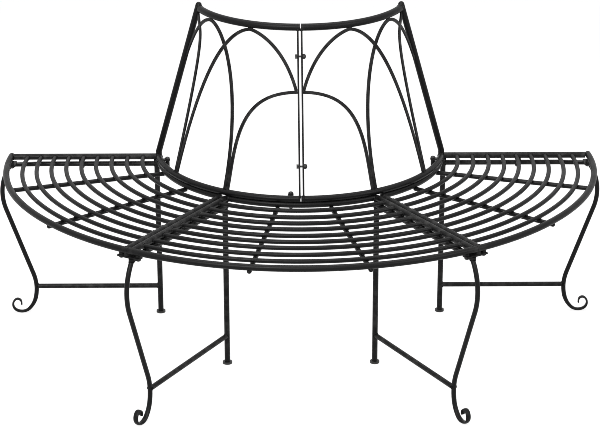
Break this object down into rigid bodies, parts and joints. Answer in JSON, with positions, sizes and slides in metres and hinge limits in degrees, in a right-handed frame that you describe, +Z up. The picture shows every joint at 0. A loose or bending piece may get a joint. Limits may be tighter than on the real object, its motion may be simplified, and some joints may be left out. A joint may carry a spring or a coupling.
{
  "type": "semicircular tree bench",
  "caption": "Half-round steel tree bench: three welded seat sectors of curved rods on four leg frames with scroll feet, and a leaning arched back around the tree.",
  "frame": {"origin": "on the ground under the middle of the bench's bounding box", "axes": "+Z up, +X to the right as seen by someone who faces the bench, -Y towards the bench's round front"},
  "size_m": [1.616, 0.8122, 0.9065],
  "materials": {
    "frame": "black powder coat, satin",
    "fastener": "black coated steel, satin",
    "foot_cap": "moulded black plastic, matte"
  },
  "bodies": {
    "root": {"seat_rim_left": "frame", "seat_rim_front": "frame", "seat_rim_right": "frame", "inner_rim_left": "frame", "inner_rim_front": "frame", "inner_rim_right": "frame", "side_tubes_left": "frame", "side_tubes_front": "frame", "side_tubes_right": "frame", "seat_rods_left": "frame", "seat_rods_front": "frame", "seat_rods_right": "frame", "support_bars_left": "frame", "support_bars_front": "frame", "support_bars_right": "frame", "front_leg_left_end": "frame", "front_leg_left": "frame", "front_leg_right": "frame", "front_leg_right_end": "frame", "back_leg_left_end": "frame", "back_leg_left": "frame", "back_leg_right": "frame", "back_leg_right_end": "frame", "top_tube_left_end": "frame", "top_tube_left": "frame", "top_tube_right": "frame", "top_tube_right_end": "frame", "stretcher_left_end": "frame", "stretcher_left": "frame", "stretcher_right": "frame", "stretcher_right_end": "frame", "foot_caps": "foot_cap", "bolt_plates": "frame", "weld_nuts": "frame", "plate_bolts": "fastener", "seam_tabs": "frame", "seam_bolts": "fastener", "bottom_rail_left": "frame", "bottom_rail_right": "frame", "top_rail_left": "frame", "top_rail_right": "frame", "end_post_left": "frame", "end_post_right": "frame", "centre_bar_left": "frame", "centre_bar_right": "frame", "wide_arch_left": "frame", "wide_arch_right": "frame", "narrow_arch_left": "frame", "narrow_arch_right": "frame", "end_half_arch_left": "frame", "end_half_arch_right": "frame", "centre_half_arch_left": "frame", "centre_half_arch_right": "frame", "centre_bolts": "fastener", "centre_nuts": "fastener", "rail_lugs": "frame", "rim_lugs": "frame", "lug_sleeves": "frame", "lug_bolts": "fastener", "lug_nuts": "fastener"}
  },
  "joints": []
}
